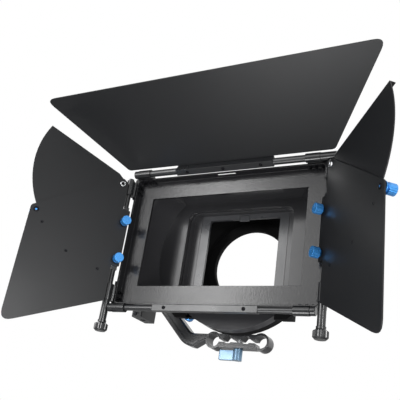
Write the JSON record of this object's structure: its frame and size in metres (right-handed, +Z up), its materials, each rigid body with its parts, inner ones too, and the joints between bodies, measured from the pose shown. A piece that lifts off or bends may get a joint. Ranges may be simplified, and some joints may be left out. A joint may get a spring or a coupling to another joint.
{
  "type": "matte box",
  "caption": "Swing-away camera matte box for 15 mm rods: wide bezel and hood, top flag, two side flags with folding fans, rotating filter stage, bent arm with rod clamp.",
  "frame": {"origin": "midway between the two rod bores, on the front face of the rod clamp", "axes": "+X to the right as seen from the front, +Y back towards the camera lens, +Z up"},
  "size_m": [0.4073, 0.2176, 0.2676],
  "materials": {
    "black_sheet": "matte black anodised aluminium sheet",
    "black_plastic": "grained black moulding",
    "dark_aluminium": "dark satin anodised",
    "arm_aluminium": "black satin anodised",
    "steel": "turned",
    "blue": "blue anodised",
    "pale_blue": "pale blue anodised"
  },
  "bodies": {
    "arm": {"swing_arm": "arm_aluminium", "swing_pin": "steel"},
    "lever": {"clamp_lever": "pale_blue", "clamp_screw": "steel"},
    "box": {"front_bezel": "black_plastic", "hood_shell": "black_plastic", "stage_frame": "black_plastic", "rear_housing": "dark_aluminium", "lens_ring": "dark_aluminium", "hinge_block": "arm_aluminium", "top_left_bracket": "dark_aluminium", "top_right_bracket": "dark_aluminium", "bottom_left_bracket": "dark_aluminium", "bottom_right_bracket": "dark_aluminium"},
    "stage": {"rotating_stage": "dark_aluminium"},
    "tray": {"filter_tray": "dark_aluminium", "tray_clip": "dark_aluminium"},
    "stage_lock": {"stage_lock_knob": "blue"},
    "top_shade": {"top_flag": "black_sheet", "top_hinge_bar": "dark_aluminium", "top_bar_cap_left": "dark_aluminium", "top_bar_cap_right": "dark_aluminium"},
    "bottom_bar": {"bottom_hinge_bar": "dark_aluminium", "bottom_bar_cap_left": "dark_aluminium", "bottom_bar_cap_right": "dark_aluminium"},
    "left_shade": {"left_flag": "black_sheet", "left_hinge_bar": "dark_aluminium", "left_fan_rivet": "steel"},
    "left_fan_blade": {"left_fan": "black_sheet"},
    "left_fan_lock": {"left_fan_knob": "blue"},
    "left_upper_knob": {"left_flag_knob_upper": "blue"},
    "left_lower_knob": {"left_flag_knob_lower": "blue"},
    "left_stem": {"left_stem_knob": "dark_aluminium"},
    "right_shade": {"right_flag": "black_sheet", "right_hinge_bar": "dark_aluminium", "right_fan_rivet": "steel"},
    "right_fan_blade": {"right_fan": "black_sheet"},
    "right_fan_lock": {"right_fan_knob": "blue"},
    "right_upper_knob": {"right_flag_knob_upper": "blue"},
    "right_lower_knob": {"right_flag_knob_lower": "blue"},
    "right_stem": {"right_stem_knob": "dark_aluminium"}
  },
  "joints": [
    {"name": "swing_away", "type": "hinge", "parent": "arm", "child": "box", "pos_m": [-0.13775, 0.008, 0.066], "axis": [0, 0, -1], "range_deg": [0, 90]},
    {"name": "clamp_lever_turn", "type": "hinge", "parent": "arm", "child": "lever", "pos_m": [0, 0.008, -0.012], "axis": [0, 0, 1], "continuous": true},
    {"name": "stage_turn", "type": "hinge", "parent": "box", "child": "stage", "pos_m": [0, -0.018, 0.09575], "axis": [0, 1, 0], "range_deg": [-45, 45]},
    {"name": "tray_slide", "type": "slide", "parent": "stage", "child": "tray", "axis": [0, 0, 1], "range_m": [0, 0.13]},
    {"name": "stage_lock_turn", "type": "hinge", "parent": "box", "child": "stage_lock", "pos_m": [-0.07, 0.005, 0.02825], "axis": [0, 1, 0], "continuous": true},
    {"name": "top_flag_tilt", "type": "hinge", "parent": "box", "child": "top_shade", "pos_m": [0, -0.091, 0.1803], "axis": [-1, 0, 0], "range_deg": [-8, 62]},
    {"name": "bottom_bar_turn", "type": "hinge", "parent": "box", "child": "bottom_bar", "pos_m": [0, -0.091, 0.0112], "axis": [1, 0, 0], "continuous": true},
    {"name": "left_flag_swing", "type": "hinge", "parent": "box", "child": "left_shade", "pos_m": [-0.1265, -0.091, 0.09575], "axis": [0, 0, 1], "range_deg": [-48, 34]},
    {"name": "right_flag_swing", "type": "hinge", "parent": "box", "child": "right_shade", "pos_m": [0.1265, -0.091, 0.09575], "axis": [0, 0, -1], "range_deg": [-41, 41]},
    {"name": "left_fan_fold", "type": "hinge", "parent": "left_shade", "child": "left_fan_blade", "pos_m": [-0.13334, -0.10024, 0.16275], "axis": [0.8039, -0.5948, 0], "range_deg": [0, 50]},
    {"name": "right_fan_fold", "type": "hinge", "parent": "right_shade", "child": "right_fan_blade", "pos_m": [0.13442, -0.09934, 0.16275], "axis": [0.7254, 0.6884, 0], "range_deg": [0, 47]},
    {"name": "left_fan_lock_turn", "type": "hinge", "parent": "left_shade", "child": "left_fan_lock", "pos_m": [-0.18818, -0.17435, 0.09915], "axis": [-0.8039, 0.5948, 0], "continuous": true},
    {"name": "right_fan_lock_turn", "type": "hinge", "parent": "right_shade", "child": "right_fan_lock", "pos_m": [0.19788, -0.16622, 0.09915], "axis": [0.7254, 0.6884, 0], "continuous": true},
    {"name": "left_upper_knob_turn", "type": "hinge", "parent": "left_shade", "child": "left_upper_knob", "pos_m": [-0.1265, -0.091, 0.11525], "axis": [-0.8039, 0.5948, 0], "continuous": true},
    {"name": "left_lower_knob_turn", "type": "hinge", "parent": "left_shade", "child": "left_lower_knob", "pos_m": [-0.1265, -0.091, 0.06825], "axis": [-0.8039, 0.5948, 0], "continuous": true},
    {"name": "right_upper_knob_turn", "type": "hinge", "parent": "right_shade", "child": "right_upper_knob", "pos_m": [0.1265, -0.091, 0.11525], "axis": [0.7254, 0.6884, 0], "continuous": true},
    {"name": "right_lower_knob_turn", "type": "hinge", "parent": "right_shade", "child": "right_lower_knob", "pos_m": [0.1265, -0.091, 0.06825], "axis": [0.7254, 0.6884, 0], "continuous": true},
    {"name": "left_stem_turn", "type": "hinge", "parent": "left_shade", "child": "left_stem", "pos_m": [-0.1265, -0.091, -0.01], "axis": [0, 0, 1], "continuous": true},
    {"name": "right_stem_turn", "type": "hinge", "parent": "right_shade", "child": "right_stem", "pos_m": [0.1265, -0.091, -0.01], "axis": [0, 0, 1], "continuous": true}
  ]
}
